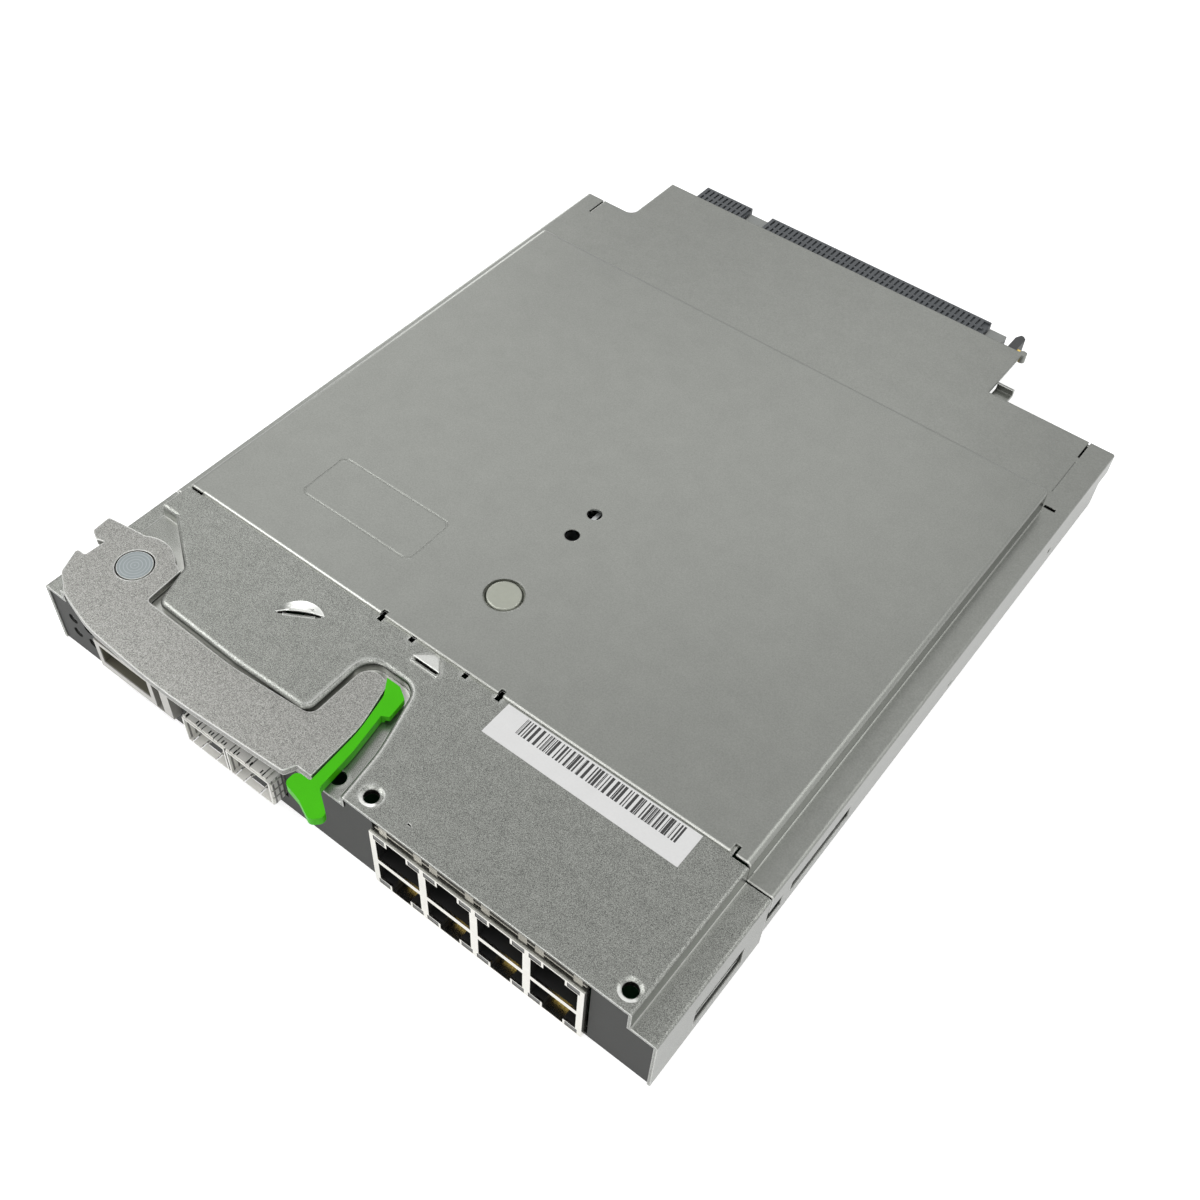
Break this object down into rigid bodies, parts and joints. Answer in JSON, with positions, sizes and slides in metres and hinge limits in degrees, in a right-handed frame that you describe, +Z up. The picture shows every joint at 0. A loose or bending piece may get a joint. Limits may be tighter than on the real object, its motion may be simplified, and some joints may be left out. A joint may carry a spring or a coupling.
{
  "type": "blade switch module",
  "caption": "Flat sheet-metal blade switch module with a stepped cover, a front ejector lever with a green latch, a block of network sockets and rear backplane connectors.",
  "frame": {"origin": "middle of the underside of the case, without the lever and the rear tongue", "axes": "+X to the right seen from the front, +Y from the front panel to the rear connectors, +Z up"},
  "size_m": [0.1943, 0.2647, 0.0286],
  "materials": {
    "steel": "galvanised",
    "lever_steel": "fine blasted",
    "bright_steel": "smooth",
    "panel_paint": "satin",
    "latch_green": "satin",
    "board_green": "solder mask",
    "support_nylon": "plain",
    "shield_tin": "bright tin",
    "port_black": "matte",
    "light_lens": "translucent",
    "status_lens": "smoked",
    "contact_gold": "gold plated",
    "plug_slate": "matte",
    "spacer_grey": "matte",
    "chip_black": "matte",
    "sink_aluminium": "satin",
    "label_white": "matte"
  },
  "bodies": {
    "chassis": {"base_tray": "steel", "front_cover": "steel", "rear_cover": "steel", "lever_rivet": "bright_steel", "cover_stud": "bright_steel", "front_panel": "panel_paint", "main_board": "board_green", "board_supports": "support_nylon", "jack_shield": "shield_tin", "jack_springs": "shield_tin", "sfp_cage_left": "shield_tin", "sfp_cage_right": "shield_tin", "cage_fingers": "shield_tin", "stack_shell": "shield_tin", "side_springs": "shield_tin", "jack_housing": "port_black", "jack_core": "port_black", "sfp_connectors": "port_black", "stack_insert": "port_black", "lamp_holder": "port_black", "jack_lights": "light_lens", "status_lights": "status_lens", "jack_contacts": "contact_gold", "stack_contacts": "contact_gold", "ground_contact": "contact_gold", "connector_small": "plug_slate", "connector_large": "plug_slate", "guide_key": "plug_slate", "connector_spacers": "spacer_grey", "switch_chip": "chip_black", "controller_chip": "chip_black", "memory_chips": "chip_black", "interface_chips": "chip_black", "power_inductors": "chip_black", "heat_sink": "sink_aluminium", "label": "label_white"},
    "lever": {"ejector_lever": "lever_steel", "latch_pin": "bright_steel"},
    "latch": {"release_latch": "latch_green"}
  },
  "joints": [
    {"name": "lever_pivot", "type": "hinge", "parent": "chassis", "child": "lever", "pos_m": [-0.0801, -0.0961, 0.0253], "axis": [0, 0, -1], "range_deg": [0, 40]},
    {"name": "latch_pivot", "type": "hinge", "parent": "lever", "child": "latch", "pos_m": [-0.0016, -0.0861, 0.0257], "axis": [0, 0, -1], "range_deg": [0, 2], "stiffness_Nm_per_rad": 0.05}
  ]
}
